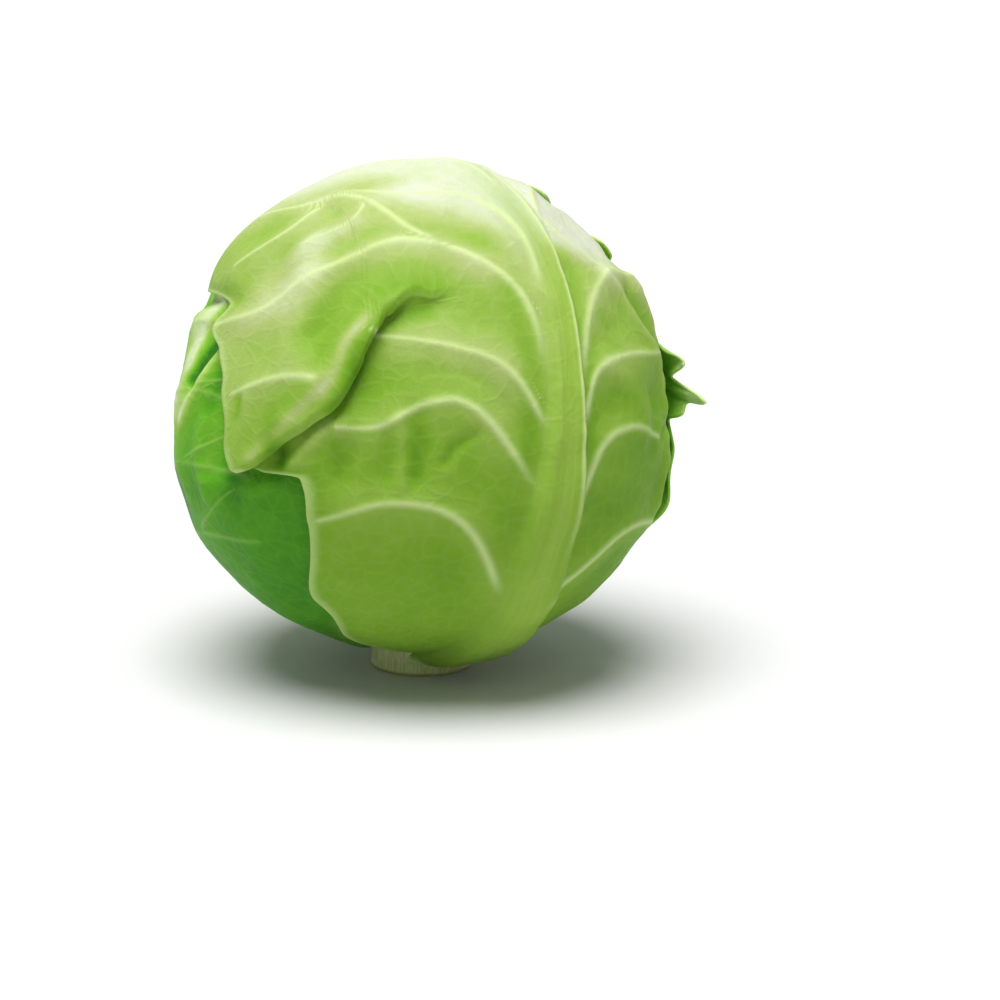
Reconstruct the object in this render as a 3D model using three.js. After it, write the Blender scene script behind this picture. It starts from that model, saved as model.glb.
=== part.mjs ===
// A head of white cabbage: the cut stem with its core, the heart of packed inner
// leaves, and six wrapper leaves, each a blade with a raised midrib and side veins.
// Millimetres, +Z up. The origin is the middle of the cut face that the head stands on.
import * as THREE from 'three';

// The head, from outside
const headHalfWidth = 91.5;
const headRise = 101;
const headDrop = 79;
const stumpLength = 8;

// The stem and the core that it becomes inside
const stemRadius = 19;
const stemFlare = 1.2;
const coreHeight = 112;
const coreTipRadius = 7;
const stemSides = 30;

// The leaves
const bladeThickness = 1.1;
const leafGap = 1.3;
const stemClearance = 0.7;
const leafMiddleRise = 15;
const marginRide = 35;
const veinCrest = 2.1;
const veinCrestWidth = 8;
const veinRidge = 0.8;
const veinRidgeWidth = 2.6;
const ribBaseHalfWidth = 19;
const ribTipHalfWidth = 3;

// The heart
const heartGap = 1;
const heartRings = 20;
const heartSides = 28;
const lapStep = 1.4;

const turn = Math.PI / 180;
const centreHeight = headDrop + stumpLength;

// Smooth helpers
const clamp = (value, low, high) => Math.min(high, Math.max(low, value));
const ease = (from, to, value) => {
  const t = clamp((value - from) / (to - from), 0, 1);
  return t * t * (3 - 2 * t);
};
const bell = (distance, width) => Math.exp(-((distance / width) ** 2));
const degreesApart = (a, b) => Math.abs(((a - b + 540) % 360) - 180);

// A direction from the middle of the head, by its azimuth from the front and its elevation
function direction(azimuth, elevation) {
  const flat = Math.cos(elevation * turn);
  return new THREE.Vector3(
    flat * Math.sin(azimuth * turn), -flat * Math.cos(azimuth * turn), Math.sin(elevation * turn));
}

// The outside of the head along a direction: a ball, taller above its widest level than below
function headSurface(d) {
  const half = d.z > 0 ? headRise : headDrop;
  return 1 / Math.sqrt((d.x ** 2 + d.y ** 2) / headHalfWidth ** 2 + (d.z / half) ** 2);
}

// A leaf lies on the head as a flat round blade would, wrapped from its middle outwards.
// x runs across the blade and y along it, both in millimetres of arc.
function leafFrame(leaf) {
  const front = direction(leaf.azimuth, 0);
  const up = new THREE.Vector3(0, 0, 1);
  const side = direction(leaf.azimuth + 90, 0);
  const lean = leaf.lean * turn;
  const heading = up.clone().multiplyScalar(Math.cos(lean)).addScaledVector(side, Math.sin(lean));
  const across = side.clone().multiplyScalar(Math.cos(lean)).addScaledVector(up, -Math.sin(lean));
  const rise = leafMiddleRise * turn;
  const middle = front.clone().multiplyScalar(Math.cos(rise)).addScaledVector(heading, Math.sin(rise));
  const along = heading.clone().multiplyScalar(Math.cos(rise)).addScaledVector(front, -Math.sin(rise));
  return { middle, across, along };
}

function toHead(frame, x, y) {
  const reach = Math.hypot(x, y);
  const arc = reach / headHalfWidth;
  const d = frame.middle.clone().multiplyScalar(Math.cos(arc));
  if (reach > 0) {
    d.addScaledVector(frame.across, Math.sin(arc) * x / reach);
    d.addScaledVector(frame.along, Math.sin(arc) * y / reach);
  }
  return d.normalize();
}

function toBlade(frame, d) {
  const arc = Math.acos(clamp(d.dot(frame.middle), -1, 1));
  const x = d.dot(frame.across);
  const y = d.dot(frame.along);
  const size = Math.hypot(x, y) || 1;
  return { x: headHalfWidth * arc * x / size, y: headHalfWidth * arc * y / size };
}

// The outline of a blade: its reach from the middle, eased between a few headings
function outline(leaf, heading) {
  const marks = leaf.outline;
  const angle = ((heading % 360) + 360) % 360;
  let last = marks.length - 1;
  for (let i = 0; i < marks.length; i += 1) {
    if (marks[i][0] <= angle) last = i;
  }
  const before = marks[last];
  const after = marks[(last + 1) % marks.length];
  const span = (after[0] - before[0] + 360) % 360 || 360;
  const t = ((angle - before[0] + 360) % 360) / span;
  const reach = before[1] + (after[1] - before[1]) * t * t * (3 - 2 * t);
  const wave = leaf.wave.depth * Math.sin(leaf.wave.count * angle * turn + leaf.wave.start);
  return reach + wave;
}

// Where the blade meets the stem, seen from the blade's middle
function stemEdge(leaf) {
  const pole = toBlade(leaf.frame, new THREE.Vector3(0, 0, -1));
  return { heading: Math.atan2(pole.y, pole.x) / turn, reach: Math.hypot(pole.x, pole.y), x: pole.x };
}

function edgeDistance(leaf, d) {
  const { x, y } = toBlade(leaf.frame, d);
  return bladeReach(leaf, Math.atan2(y, x) / turn) - Math.hypot(x, y);
}

// The midrib: a broad band that thins towards the tip and bends to the stem at its foot
function ribPath(leaf, y) {
  return leaf.foot.x * ease(-50, -170, y);
}

function ribHalfWidth(y) {
  const t = clamp((100 - y) / 240, 0, 1);
  return ribTipHalfWidth + (ribBaseHalfWidth - ribTipHalfWidth) * t ** 1.7;
}

function ribHeight(leaf, d) {
  const { x, y } = toBlade(leaf.frame, d);
  const t = clamp((110 - y) / 250, 0, 1);
  const offset = (x - ribPath(leaf, y)) / ribHalfWidth(y);
  return leaf.ribRise * t * ease(1.4, 0.5, Math.abs(offset));
}

// Side veins, each an arc through three points on the blade, as short straight steps
const veinSteps = 7;
function veinPoints(leaf) {
  return leaf.veins.map(([start, bend, end]) => {
    const points = [];
    for (let i = 0; i <= veinSteps; i += 1) {
      const t = i / veinSteps;
      const x = (1 - t) ** 2 * start[0] + 2 * t * (1 - t) * bend[0] + t * t * end[0];
      const y = (1 - t) ** 2 * start[1] + 2 * t * (1 - t) * bend[1] + t * t * end[1];
      points.push(toHead(leaf.frame, x, y));
    }
    return points;
  });
}

function distanceToPath(d, points) {
  let nearest = Infinity;
  for (let i = 0; i + 1 < points.length; i += 1) {
    const step = points[i + 1].clone().sub(points[i]);
    const t = clamp(d.clone().sub(points[i]).dot(step) / step.lengthSq(), 0, 1);
    nearest = Math.min(nearest, d.distanceTo(points[i].clone().addScaledVector(step, t)));
  }
  return nearest * headHalfWidth;
}

// Vein pairs of a leaf that has no arcs of its own, set out by rule along the midrib
function pairedVeins(count, reach) {
  const veins = [];
  for (let i = 0; i < count; i += 1) {
    const side = i % 2 ? 1 : -1;
    const y = -105 + 170 * i / count;
    const out = reach * (0.82 - 0.25 * (i / count) ** 2);
    veins.push([[side * 4, y], [side * out * 0.4, y + 42], [side * out, y + 46]]);
  }
  return veins;
}

// The wrapper leaves, from the outside in. Each grew about 137.5 degrees round from the last.
const leaves = [
  {
    name: 'leaf_back_loose', azimuth: 173.5, lean: 0, ribRise: 4, air: 1.1, spread: 116, cells: [26, 26],
    outline: [[0, 131], [17, 116], [44, 96], [68, 86], [90, 83], [106, 90], [118, 102], [138, 108],
      [158, 119], [167, 131], [174, 137], [181, 134], [205, 150], [250, 142], [290, 142], [330, 145]],
    wave: { depth: 1.5, count: 17, start: 0.6 },
    ruffles: [[166, 7, 4], [174, 13, 4], [181, 4, 3], [194, 5, 6], [116, 3, 5], [137, 3, 5], [88, 7, 8],
      [62, 6, 7], [36, 8, 7], [14, 5, 6], [352, 8, 7], [330, 5, 6]],
    veins: pairedVeins(12, 112), creases: [], color: 0x5fa62f,
  },
  {
    name: 'leaf_front', azimuth: 31.2, lean: 8.6, ribRise: 5, air: 2.2, spread: 126, cells: [32, 26],
    outline: [[0, 128], [40, 140], [90, 140], [130, 139], [157, 138], [165, 131], [180, 123], [187, 126],
      [192, 121], [202, 100], [210, 102], [228, 122], [250, 140], [290, 142], [330, 136]],
    wave: { depth: 0.8, count: 21, start: 0 },
    ruffles: [],
    veins: [
      [[-3, 25], [-24, 62], [-80, 58]], [[-3, 45], [-10, 84], [-58, 86]], [[-38, 60], [-50, 72], [-66, 100]],
      [[-4, -4], [-24, 20], [-66, 28]], [[-6, -26], [-40, 16], [-78, -7]], [[-80, 58], [-100, 50], [-118, 46]],
      [[-83, 12], [-100, 18], [-121, 12]], [[3, 70], [-4, 110], [-50, 122]],
      [[5, 12], [13, 52], [63, 62]], [[6, -2], [18, 23], [64, 27]], [[7, -30], [22, -2], [70, -8]],
      [[3, 45], [10, 84], [56, 96]], [[-8, -60], [-34, -28], [-84, -40]], [[8, -64], [34, -34], [92, -42]],
    ],
    creases: [
      { path: [[60, 47], [72, 30], [77, 14], [74, -4], [76, -30]], width: 6, lift: 2 },
      { path: [[84, 40], [86, 20]], width: 7, lift: -2 },
      { path: [[-16, 16], [-6, 6], [-4, -12]], width: 6, lift: -1.6 },
      { path: [[-24, 12], [-27, 0], [-24, -20]], width: 5, lift: 1.6 },
    ],
    pleat: { level: 0.31, drop: 0.62, bend: -0.36, end: -1.1, from: -0.26, full: -0.56 },
    color: 0x9bc84b,
  },
  {
    name: 'leaf_left', azimuth: -101.5, lean: 0, ribRise: 3, air: 1.6, spread: 130, cells: [24, 22],
    outline: [[0, 132], [60, 130], [90, 130], [120, 130], [180, 132], [230, 140], [310, 140]],
    wave: { depth: 1.2, count: 15, start: 1 },
    ruffles: [],
    veins: pairedVeins(12, 118),
    creases: [
      { path: [[-61, 36], [-64, 28], [-67, 14]], width: 4.5, lift: -2.4 },
      { path: [[-58, 30], [-62, 17], [-68, 4], [-70, -20]], width: 5, lift: 2.2 },
      { path: [[-52, 20], [-54, 0], [-52, -25]], width: 5, lift: -1.6 },
      { path: [[-78, 6], [-80, -30]], width: 7, lift: 1.6 },
    ],
    color: 0x4e9a2e,
  },
  {
    name: 'leaf_right', azimuth: 121, lean: 0, ribRise: 2.4, air: 0.3, spread: 128, cells: [18, 18],
    outline: [[0, 126], [90, 128], [180, 126], [230, 136], [310, 136]],
    wave: { depth: 1.5, count: 13, start: 2 },
    ruffles: [], veins: pairedVeins(8, 110), creases: [], color: 0x8fc24a,
  },
  {
    name: 'leaf_front_inner', azimuth: -16.5, lean: 0, ribRise: 2.2, air: 0.2, spread: 126, cells: [18, 18],
    outline: [[0, 124], [90, 126], [180, 124], [230, 134], [310, 134]],
    wave: { depth: 1.5, count: 14, start: 3 },
    ruffles: [], veins: pairedVeins(8, 108), creases: [], color: 0xb4d676,
  },
  {
    name: 'leaf_back_inner', azimuth: -154, lean: 0, ribRise: 2, air: 0.2, spread: 126, cells: [18, 18],
    outline: [[0, 122], [90, 126], [180, 122], [230, 132], [310, 132]],
    wave: { depth: 1.5, count: 12, start: 4 },
    ruffles: [], veins: pairedVeins(8, 106), creases: [], color: 0xbfdc88,
  },
];

// At its foot a blade meets the stem's side and clasps it a little way round
const footSpread = 4.5;
const footEase = 14;
const footStart = 1.4;
const footRounds = 4;
function bladeReach(leaf, heading) {
  const free = outline(leaf, heading);
  const away = degreesApart(heading, leaf.foot.heading);
  if (away > footSpread + footEase) return free;
  const past = leaf.foot.reach * Math.sin(away * turn);
  const stem = leaf.foot.reach - leaf.foot.edge;
  const clasp = leaf.foot.reach * Math.cos(away * turn) - Math.sqrt(Math.max(0, stem ** 2 - past ** 2));
  return free + (clasp - free) * ease(footSpread + footEase, footSpread, away);
}

for (const leaf of leaves) {
  leaf.frame = leafFrame(leaf);
  leaf.foot = stemEdge(leaf);
  leaf.paths = veinPoints(leaf);
  leaf.folds = leaf.creases.map((crease) => crease.path.map(([az, el]) => direction(az, el)));
}

// The foot ends on the stem's side, which lies further from the pole the deeper the leaf is set
leaves.forEach((leaf, index) => {
  leaf.foot.edge = leaf.foot.reach - stemRadius * footStart;
  for (let round = 0; round < footRounds; round += 1) {
    const heading = leaf.foot.heading * turn;
    const d = toHead(leaf.frame, leaf.foot.edge * Math.cos(heading), leaf.foot.edge * Math.sin(heading));
    const radius = headSurface(d) - layer(index, d).depth - ribHeight(leaf, d) - bladeThickness;
    const arc = Math.asin(clamp((stemRadius + stemFlare + stemClearance) / radius, 0, 1));
    leaf.foot.edge = leaf.foot.reach - headHalfWidth * arc;
  }
});

// How far below the head's outside a leaf lies, and how much of it other leaves hide.
// Each leaf over it presses it down fully inside that leaf's margin, and less and less outside.
function layer(index, d) {
  let depth = 0;
  let hidden = 0;
  for (let i = 0; i < index; i += 1) {
    const leaf = leaves[i];
    const edge = edgeDistance(leaf, d);
    depth += ribHeight(leaf, d) * hidden * ease(-marginRide, 0, edge);
    depth += ease(-marginRide, 0, edge) * (bladeThickness + leafGap + leaf.air);
    hidden = Math.max(hidden, ease(-4, 6, edge));
  }
  return { depth, hidden };
}

// The swell of a blade: crests along its veins, its creases, and the ruffles of its margin
function relief(leaf, d, hidden) {
  const edge = edgeDistance(leaf, d);
  const { x, y } = toBlade(leaf.frame, d);
  const heading = Math.atan2(y, x) / turn;
  let vein = Infinity;
  for (const path of leaf.paths) vein = Math.min(vein, distanceToPath(d, path));
  let swell = veinCrest * bell(vein, veinCrestWidth) + veinRidge * bell(vein, veinRidgeWidth);
  leaf.creases.forEach((crease, i) => {
    swell += crease.lift * bell(distanceToPath(d, leaf.folds[i]), crease.width);
  });
  swell *= ease(0, 22, edge) * ease(-150, -110, y);
  for (const [at, lift, width] of leaf.ruffles) {
    const curl = clamp(1 - edge / 26, 0, 1) ** 2;
    swell += lift * bell(degreesApart(heading, at), width) * curl;
  }
  return Math.max(swell, -leaf.air) * (1 - hidden);
}

// A blade's grid: a square of cells eased into the round outline, whose corner cells keep their width
const cornerPower = 6;
function bladePoint(leaf, p, q) {
  const heading = Math.atan2(q * Math.sqrt(1 - p * p / 2), p * Math.sqrt(1 - q * q / 2)) / turn;
  const [a, b] = [Math.abs(p) ** cornerPower, Math.abs(q) ** cornerPower];
  const share = (a + b - a * b) ** (1 / cornerPower);
  const reach = share * (leaf.spread + (bladeReach(leaf, heading) - leaf.spread) * share ** 2);
  return new THREE.Vector2(reach * Math.cos(heading * turn), reach * Math.sin(heading * turn));
}

// The front leaf is pleated on its left: the part above laps over the part below.
// The pleat follows one row of the grid, which falls away to the left margin.
const pleatStep = 0.01;
function pleatLevel(pleat, p) {
  return pleat.level - pleat.drop * ease(pleat.bend, pleat.end, p);
}

// Across the pleat the sheet runs under the lip, turns back, and turns again over it.
// Each step: distance up the flat sheet, distance once folded, and height, in millimetres.
const pleatProfile = [
  [-24, -24, 0], [-9, -9, -0.8], [-4, -0.4, -0.9], [-2, 1, 0], [0, -0.4, 0.9], [2.5, -2.6, 1.3],
  [5, -4.2, 3.5], [7.5, -2.2, 5.8], [16, 10, 5.3], [54, 54, 0],
];
const pleatRows = pleatProfile.slice(1, -1).map(([distance]) => distance);

function acrossPleat(distance) {
  const last = pleatProfile.length - 1;
  if (distance <= pleatProfile[0][0] || distance >= pleatProfile[last][0]) return { to: distance, lift: 0 };
  let i = 0;
  while (pleatProfile[i + 1][0] < distance) i += 1;
  const [from, fromTo, fromLift] = pleatProfile[i];
  const [until, untilTo, untilLift] = pleatProfile[i + 1];
  const t = (distance - from) / (until - from);
  return { to: fromTo + (untilTo - fromTo) * t, lift: fromLift + (untilLift - fromLift) * t };
}

// The pleat's own line at one column: its point, the way up across it, and the millimetres to a level
function pleatLine(leaf, p) {
  const level = pleatLevel(leaf.pleat, p);
  const point = bladePoint(leaf, p, level);
  const along = bladePoint(leaf, p + pleatStep, pleatLevel(leaf.pleat, p + pleatStep)).sub(point).normalize();
  const normal = new THREE.Vector2(-along.y, along.x);
  const scale = bladePoint(leaf, p, level + pleatStep).sub(point).dot(normal) / pleatStep;
  return { level, point, normal, scale };
}

// The levels of the grid's rows at one column, close together where the sheet is folded
function rowLevels(leaf, p) {
  const rows = leaf.cells[1];
  if (!leaf.pleat) return Array.from({ length: rows + 1 }, (_, j) => -1 + 2 * j / rows);
  const { level, scale } = pleatLine(leaf, p);
  const below = Math.round((rows - pleatRows.length) * (1 + leaf.pleat.level) / 2);
  const above = rows + 1 - below - pleatRows.length;
  const first = level + pleatRows[0] / scale;
  const last = level + pleatRows[pleatRows.length - 1] / scale;
  const levels = [];
  for (let j = 0; j < below; j += 1) levels.push(-1 + (first + 1) * j / below);
  for (const distance of pleatRows) levels.push(level + distance / scale);
  for (let j = 1; j <= above; j += 1) levels.push(last + (1 - last) * j / above);
  return levels;
}

function pleatShift(leaf, p, flat) {
  const strength = ease(leaf.pleat.from, leaf.pleat.full, p);
  const { point, normal } = pleatLine(leaf, p);
  const distance = flat.clone().sub(point).dot(normal);
  const { to, lift } = acrossPleat(distance);
  return { flat: flat.clone().addScaledVector(normal, (to - distance) * strength), lift: lift * strength };
}

// Columns stand closer together along the midrib and along the margins
const columnCrowding = 0.055;
function columnPlace(share) {
  const p = 2 * share - 1;
  return p - columnCrowding * Math.sin(2 * Math.PI * p);
}

// One closed body from two like grids of points, with a rim between them
function shellGeometry(outer, inner) {
  const rows = outer.length;
  const columns = outer[0].length;
  const positions = [];
  const quad = (a, b, c, d) => {
    for (const point of [a, b, c, a, c, d]) positions.push(point.x, point.y, point.z);
  };
  // Each cell is split alike on both faces, along the diagonal that points at the nearest corner
  for (let j = 0; j + 1 < rows; j += 1) {
    for (let i = 0; i + 1 < columns; i += 1) {
      const corners = [[j, i], [j, i + 1], [j + 1, i + 1], [j + 1, i]];
      if ((2 * i - columns + 2) * (2 * j - rows + 2) < 0) corners.push(corners.shift());
      const [a, b, c, d] = corners;
      quad(...[a, b, c, d].map(([k, l]) => outer[k][l]));
      quad(...[a, d, c, b].map(([k, l]) => inner[k][l]));
    }
  }
  for (let i = 0; i + 1 < columns; i += 1) {
    quad(inner[0][i], inner[0][i + 1], outer[0][i + 1], outer[0][i]);
    quad(outer[rows - 1][i], outer[rows - 1][i + 1], inner[rows - 1][i + 1], inner[rows - 1][i]);
  }
  for (let j = 0; j + 1 < rows; j += 1) {
    quad(outer[j][0], outer[j + 1][0], inner[j + 1][0], inner[j][0]);
    quad(inner[j][columns - 1], inner[j + 1][columns - 1], outer[j + 1][columns - 1], outer[j][columns - 1]);
  }
  const geometry = new THREE.BufferGeometry();
  geometry.setAttribute('position', new THREE.Float32BufferAttribute(positions, 3));
  geometry.computeVertexNormals();
  return geometry;
}

// Keeps a point of a blade's foot off the side of the stem
function clearOfStem(point) {
  const flat = Math.hypot(point.x, point.y);
  const least = stemRadius + stemFlare + stemClearance;
  if (point.z + centreHeight < coreHeight && flat < least) {
    point.x *= least / flat;
    point.y *= least / flat;
  }
  return point;
}

// The way out of the sheet at a grid point. At the four corners the outline runs straight on,
// so they take the way of the point inside them.
function sheetNormal(sheet, row, column) {
  const lastRow = sheet.length - 1;
  const lastColumn = sheet[0].length - 1;
  const corner = (row === 0 || row === lastRow) && (column === 0 || column === lastColumn);
  const j = corner ? clamp(row, 1, lastRow - 1) : row;
  const i = corner ? clamp(column, 1, lastColumn - 1) : column;
  const right = sheet[j][Math.min(i + 1, lastColumn)].clone().sub(sheet[j][Math.max(i - 1, 0)]);
  const up = sheet[Math.min(j + 1, lastRow)][i].clone().sub(sheet[Math.max(j - 1, 0)][i]);
  return right.cross(up).normalize();
}

function leafGeometry(index) {
  const leaf = leaves[index];
  const [columns, rows] = leaf.cells;
  const sheet = [];
  const ribs = [];
  for (let j = 0; j <= rows; j += 1) {
    const row = [];
    const ribRow = [];
    for (let i = 0; i <= columns; i += 1) {
      const p = columnPlace(i / columns);
      const onBlade = bladePoint(leaf, p, rowLevels(leaf, p)[j]);
      const { flat, lift } = leaf.pleat ? pleatShift(leaf, p, onBlade) : { flat: onBlade, lift: 0 };
      const d = toHead(leaf.frame, flat.x, flat.y);
      const { depth, hidden } = layer(index, d);
      const rib = ribHeight(leaf, d);
      const radius = headSurface(d) - depth - rib * hidden + relief(leaf, d, hidden) + lift;
      row.push(clearOfStem(d.multiplyScalar(radius)));
      ribRow.push(rib);
    }
    sheet.push(row);
    ribs.push(ribRow);
  }
  const outer = [];
  const inner = [];
  sheet.forEach((row, j) => {
    outer.push([]);
    inner.push([]);
    row.forEach((point, i) => {
      const normal = sheetNormal(sheet, j, i);
      outer[j].push(clearOfStem(point.clone().addScaledVector(normal, ribs[j][i])));
      inner[j].push(clearOfStem(point.clone().addScaledVector(normal, -bladeThickness)));
    });
  });
  return shellGeometry(outer, inner);
}

// The stem, turned, with the leaf bases' shallow flutes along its side, and the core above it
function stemGeometry() {
  const profile = [
    [0, 0], [stemRadius - 1.5, 0], [stemRadius, 1.5], [stemRadius - 0.6, stumpLength * 0.6],
    [stemRadius + 0.4, stumpLength + 8], [stemRadius, 48], [stemRadius * 0.76, 72],
    [stemRadius * 0.55, 94], [coreTipRadius, coreHeight - 4], [coreTipRadius * 0.5, coreHeight - 1],
    [0, coreHeight],
  ];
  const geometry = new THREE.LatheGeometry(profile.map(([r, z]) => new THREE.Vector2(r, z)), stemSides);
  geometry.rotateX(Math.PI / 2);
  const position = geometry.attributes.position;
  for (let i = 0; i < position.count; i += 1) {
    const x = position.getX(i);
    const y = position.getY(i);
    const around = Math.atan2(y, x);
    const scale = 1 + 0.025 * Math.sin(5 * around) * ease(1, 6, position.getZ(i));
    position.setXY(i, x * scale, y * scale);
  }
  geometry.computeVertexNormals();
  return geometry;
}

// The heart fills the space inside the wrapper leaves. Its own outer leaves lap round it in
// the same spiral, each margin a small step, and a socket from below takes the core.
function heartRadius(d) {
  const { depth } = layer(leaves.length, d);
  let lap = 0;
  for (let i = 1; i <= 4; i += 1) {
    const middle = direction(-154 - 137.5 * i, 20);
    const away = Math.acos(clamp(d.dot(middle), -1, 1)) / turn;
    lap += lapStep * (1 - ease(66, 74, away));
  }
  return headSurface(d) - depth - heartGap - 4 * lapStep + lap;
}

function heartGeometry() {
  const socketRadius = stemRadius + 1.2;
  const rings = [];
  const ringOf = (radiusAndHeight) => {
    const ring = [];
    for (let i = 0; i < heartSides; i += 1) ring.push(radiusAndHeight(360 * i / heartSides));
    return ring;
  };
  for (let k = 1; k <= heartRings; k += 1) {
    const elevation = 90 - 156 * k / heartRings;
    rings.push(ringOf((azimuth) => {
      const d = direction(azimuth, elevation);
      return d.multiplyScalar(heartRadius(d));
    }));
  }
  const socket = [[socketRadius, -22], [stemRadius * 0.76 + 3, 0], [coreTipRadius + 3.4, 22]];
  for (const [radius, height] of socket) {
    rings.push(ringOf((azimuth) => {
      const d = direction(azimuth, 0).multiplyScalar(radius);
      d.z = height;
      return d;
    }));
  }
  const top = new THREE.Vector3(0, 0, heartRadius(new THREE.Vector3(0, 0, 1)));
  const deep = new THREE.Vector3(0, 0, coreHeight - centreHeight + 1.5);
  const positions = [];
  const triangle = (a, b, c) => {
    for (const point of [a, b, c]) positions.push(point.x, point.y, point.z);
  };
  for (let i = 0; i < heartSides; i += 1) {
    const next = (i + 1) % heartSides;
    triangle(top, rings[0][i], rings[0][next]);
    for (let k = 0; k + 1 < rings.length; k += 1) {
      triangle(rings[k][i], rings[k + 1][i], rings[k + 1][next]);
      triangle(rings[k][i], rings[k + 1][next], rings[k][next]);
    }
    const last = rings[rings.length - 1];
    triangle(last[i], deep, last[next]);
  }
  const geometry = new THREE.BufferGeometry();
  geometry.setAttribute('position', new THREE.Float32BufferAttribute(positions, 3));
  geometry.computeVertexNormals();
  return geometry;
}

// The finished head
const cabbage = new THREE.Group();

function addPiece(name, geometry, color, roughness, height) {
  const material = new THREE.MeshStandardMaterial({ color, roughness, metalness: 0 });
  const mesh = new THREE.Mesh(geometry, material);
  mesh.name = name;
  mesh.position.z = height;
  cabbage.add(mesh);
}

addPiece('stem', stemGeometry(), 0xeef0d2, 0.6, 0);
addPiece('heart', heartGeometry(), 0xe4edbe, 0.5, centreHeight);
leaves.forEach((leaf, index) => {
  addPiece(leaf.name, leafGeometry(index), leaf.color, 0.45, centreHeight);
});

export default cabbage;
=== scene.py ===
import bpy
import numpy as np
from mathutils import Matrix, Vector, noise


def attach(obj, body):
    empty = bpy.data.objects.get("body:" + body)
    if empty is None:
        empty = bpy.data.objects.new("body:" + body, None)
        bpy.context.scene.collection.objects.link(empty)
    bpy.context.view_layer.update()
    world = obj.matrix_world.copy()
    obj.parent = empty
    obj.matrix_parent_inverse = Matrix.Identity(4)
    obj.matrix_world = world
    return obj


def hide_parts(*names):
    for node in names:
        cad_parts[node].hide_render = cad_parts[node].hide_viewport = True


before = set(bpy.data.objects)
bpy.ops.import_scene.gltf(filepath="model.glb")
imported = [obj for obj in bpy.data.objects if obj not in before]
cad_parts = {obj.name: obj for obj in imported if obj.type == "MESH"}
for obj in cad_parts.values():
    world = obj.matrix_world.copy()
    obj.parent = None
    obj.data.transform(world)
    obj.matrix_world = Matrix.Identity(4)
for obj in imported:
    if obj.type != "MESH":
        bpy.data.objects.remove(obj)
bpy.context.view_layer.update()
mm = 0.001
print("frame loaded")

# The head, from outside. Its middle is the level where it is widest.
head = {
    "halfWidth": 91.5,
    "rise": 101,  # the middle to the crown
    "drop": 79,  # the middle to the foot of the leaves
    "stump": 8,  # the cut stem below the leaves
    "shoulder": {"azimuth": -90, "rise": 44, "lift": 3.6, "spread": 19},  # a fuller place, in degrees
}
centreHeight = head["drop"] + head["stump"]

# How the leaves lie on each other
wrap = {
    "turn": 137.5,  # degrees round the stem from one leaf of the heart to the next
    "blade": 1.1,  # the space that a blade takes up
    "sheet": 0.85,  # the thickness that it is drawn with
    "gap": 1.3,
    "middleRise": 15,  # degrees, where a blade's middle lies above the widest level
    "marginRide": 35,  # how far beyond its margin a leaf still presses on what lies under it
    "stemClearance": -1.6,  # the feet run into the stem
}

# The stem, cut below, with its core inside the head
stem = {"radius": 19, "flare": 1.2, "height": 112}


def clamp(value, low, high):
    return np.minimum(high, np.maximum(low, value))


def ramp(start, end, value):
    return clamp((value - start) / (end - start), 0, 1)


def ease(start, end, value):
    t = ramp(start, end, value)
    return t * t * (3 - 2 * t)


def bell(distance, width):
    return np.exp(-((distance / width) ** 2))


def degreesApart(a, b):
    return np.abs((a - b + 540) % 360 - 180)


def levelDirection(azimuth):
    # from the middle of the head, by azimuth from the front
    return np.array([np.sin(np.radians(azimuth)), -np.cos(np.radians(azimuth)), 0])


def headSurface(d):
    # a ball, taller above its widest level than below
    half = np.where(d[:, 2] > 0, head["rise"], head["drop"])
    flat = (d[:, 0] ** 2 + d[:, 1] ** 2) / head["halfWidth"] ** 2
    fuller = head["shoulder"]
    rise = np.radians(fuller["rise"])
    top = np.cos(rise) * levelDirection(fuller["azimuth"]) + np.sin(rise) * np.array([0, 0, 1])
    away = np.degrees(np.arccos(clamp(d @ top, -1, 1)))
    return 1 / np.sqrt(flat + (d[:, 2] / half) ** 2) + fuller["lift"] * bell(away, fuller["spread"])


def leafFrame(leaf):
    # a leaf lies on the head as a flat round blade would, wrapped from its middle outwards
    front = levelDirection(leaf["azimuth"])
    side = levelDirection(leaf["azimuth"] + 90)
    up = np.array([0, 0, 1])
    lean = np.radians(leaf["lean"])
    rise = np.radians(wrap["middleRise"])
    heading = np.cos(lean) * up + np.sin(lean) * side
    return {
        "across": np.cos(lean) * side - np.sin(lean) * up,
        "middle": np.cos(rise) * front + np.sin(rise) * heading,
        "along": np.cos(rise) * heading - np.sin(rise) * front,
    }


def toHead(leaf, xy):
    lie = leaf["frame"]
    reach = np.hypot(xy[:, 0], xy[:, 1])
    arc = reach / head["halfWidth"]
    share = np.sin(arc) / np.maximum(reach, 1e-9)
    return (
        np.cos(arc)[:, None] * lie["middle"]
        + (share * xy[:, 0])[:, None] * lie["across"]
        + (share * xy[:, 1])[:, None] * lie["along"]
    )


def toBlade(leaf, d):
    lie = leaf["frame"]
    arc = np.arccos(clamp(d @ lie["middle"], -1, 1))
    xy = np.stack([d @ lie["across"], d @ lie["along"]], axis=1)
    size = np.maximum(np.hypot(xy[:, 0], xy[:, 1]), 1e-9)
    return xy * (head["halfWidth"] * arc / size)[:, None]


def outline(leaf, heading):
    # the reach from the middle of the blade to its margin, eased between a few headings
    at, reach = np.array(leaf["outline"] + [(360, leaf["outline"][0][1])]).T
    angle = np.mod(heading, 360)
    k = clamp(np.searchsorted(at, angle, side="right") - 1, 0, len(at) - 2)
    t = (angle - at[k]) / (at[k + 1] - at[k])
    depth, count, start = leaf["wave"]
    wave = depth * np.sin(count * np.radians(angle) + start)
    return reach[k] + (reach[k + 1] - reach[k]) * t * t * (3 - 2 * t) + wave


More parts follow.
